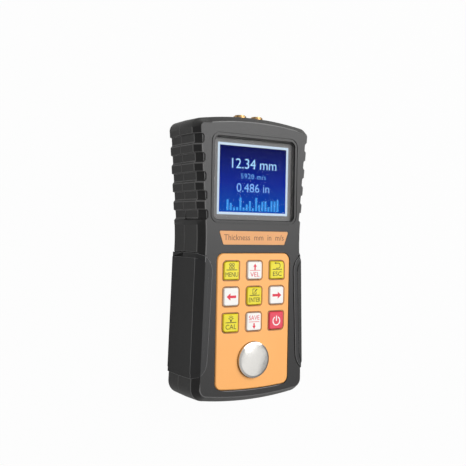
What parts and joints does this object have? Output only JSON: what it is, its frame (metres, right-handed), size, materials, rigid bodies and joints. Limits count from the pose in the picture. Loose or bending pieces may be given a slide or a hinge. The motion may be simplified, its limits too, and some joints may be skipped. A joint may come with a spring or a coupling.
{
  "type": "ultrasonic thickness gauge",
  "caption": "Handheld ultrasonic thickness gauge: waisted dark case with rubber side grips, colour screen, amber keypad, steel zero disc and gilt probe sockets on the top end.",
  "frame": {"origin": "centre of the back face, which the gauge lies on", "axes": "+X across the face to the right, +Y along the case towards the probe sockets, +Z out of the face"},
  "size_m": [0.074, 0.1521, 0.034],
  "materials": {
    "case_abs": "moulded charcoal ABS with a fine satin texture",
    "grip_rubber": "matt moulded thermoplastic rubber",
    "window_clear": "clear hard-coated polycarbonate",
    "window_print": "light grey printed border",
    "display_glass": "backlit colour display, blue",
    "holder_nylon": "moulded white nylon",
    "ribbon_film": "amber polyimide film",
    "panel_amber": "satin amber printed plate",
    "key_yellow": "satin yellow key cap",
    "key_white": "satin white key cap",
    "key_red": "satin red key cap",
    "dome_film": "clear film with steel snap domes",
    "board_glass": "green solder-masked glass epoxy",
    "disc_steel": "turned stainless steel",
    "chip_epoxy": "black moulded epoxy",
    "coil_tape": "taped ferrite coil",
    "capacitor_sleeve": "dark blue shrink sleeve",
    "socket_gilt": "gilt turned brass",
    "socket_ptfe": "white fluoropolymer",
    "cell_sleeve": "plain green cell sleeve",
    "contact_steel": "nickel-plated spring steel",
    "screw_steel": "zinc-plated steel"
  },
  "bodies": {
    "housing": {"front_shell": "case_abs", "rear_shell": "case_abs", "left_grip": "grip_rubber", "right_grip": "grip_rubber", "window_lens": "window_clear", "window_mask": "window_print", "display_panel": "display_glass", "display_holder": "holder_nylon", "display_ribbon": "ribbon_film", "title_plate": "panel_amber", "keypad_plate": "panel_amber", "dome_sheet": "dome_film", "switch_board": "board_glass", "switch_spacers": "holder_nylon", "keypad_ribbon": "ribbon_film", "zero_disc": "disc_steel", "main_board": "board_glass", "processor_chip": "chip_epoxy", "pulse_coil": "coil_tape", "capacitors": "capacitor_sleeve", "buzzer": "chip_epoxy", "left_socket": "socket_gilt", "right_socket": "socket_gilt", "socket_nuts": "socket_gilt", "socket_insulators": "socket_ptfe", "socket_contacts": "socket_gilt", "left_cell": "cell_sleeve", "right_cell": "cell_sleeve", "battery_springs": "contact_steel", "battery_plates": "contact_steel", "case_screws": "screw_steel", "board_screws": "screw_steel"},
    "menu_button": {"menu_key": "key_yellow"},
    "up_button": {"up_key": "key_white"},
    "escape_button": {"escape_key": "key_yellow"},
    "left_button": {"left_key": "key_white"},
    "enter_button": {"enter_key": "key_yellow"},
    "right_button": {"right_key": "key_white"},
    "lamp_button": {"lamp_key": "key_yellow"},
    "down_button": {"down_key": "key_white"},
    "power_button": {"power_key": "key_red"},
    "cover": {"battery_cover": "case_abs"}
  },
  "joints": [
    {"name": "menu_press", "type": "slide", "parent": "housing", "child": "menu_button", "axis": [0, 0, -1], "range_m": [0, 0.0005], "stiffness_N_per_m": 1500},
    {"name": "up_press", "type": "slide", "parent": "housing", "child": "up_button", "axis": [0, 0, -1], "range_m": [0, 0.0005], "stiffness_N_per_m": 1500},
    {"name": "escape_press", "type": "slide", "parent": "housing", "child": "escape_button", "axis": [0, 0, -1], "range_m": [0, 0.0005], "stiffness_N_per_m": 1500},
    {"name": "left_press", "type": "slide", "parent": "housing", "child": "left_button", "axis": [0, 0, -1], "range_m": [0, 0.0005], "stiffness_N_per_m": 1500},
    {"name": "enter_press", "type": "slide", "parent": "housing", "child": "enter_button", "axis": [0, 0, -1], "range_m": [0, 0.0005], "stiffness_N_per_m": 1500},
    {"name": "right_press", "type": "slide", "parent": "housing", "child": "right_button", "axis": [0, 0, -1], "range_m": [0, 0.0005], "stiffness_N_per_m": 1500},
    {"name": "lamp_press", "type": "slide", "parent": "housing", "child": "lamp_button", "axis": [0, 0, -1], "range_m": [0, 0.0005], "stiffness_N_per_m": 1500},
    {"name": "down_press", "type": "slide", "parent": "housing", "child": "down_button", "axis": [0, 0, -1], "range_m": [0, 0.0005], "stiffness_N_per_m": 1500},
    {"name": "power_press", "type": "slide", "parent": "housing", "child": "power_button", "axis": [0, 0, -1], "range_m": [0, 0.0005], "stiffness_N_per_m": 1500},
    {"name": "cover_slide", "type": "slide", "parent": "housing", "child": "cover", "axis": [0, -1, 0], "range_m": [0, 0.062]}
  ]
}
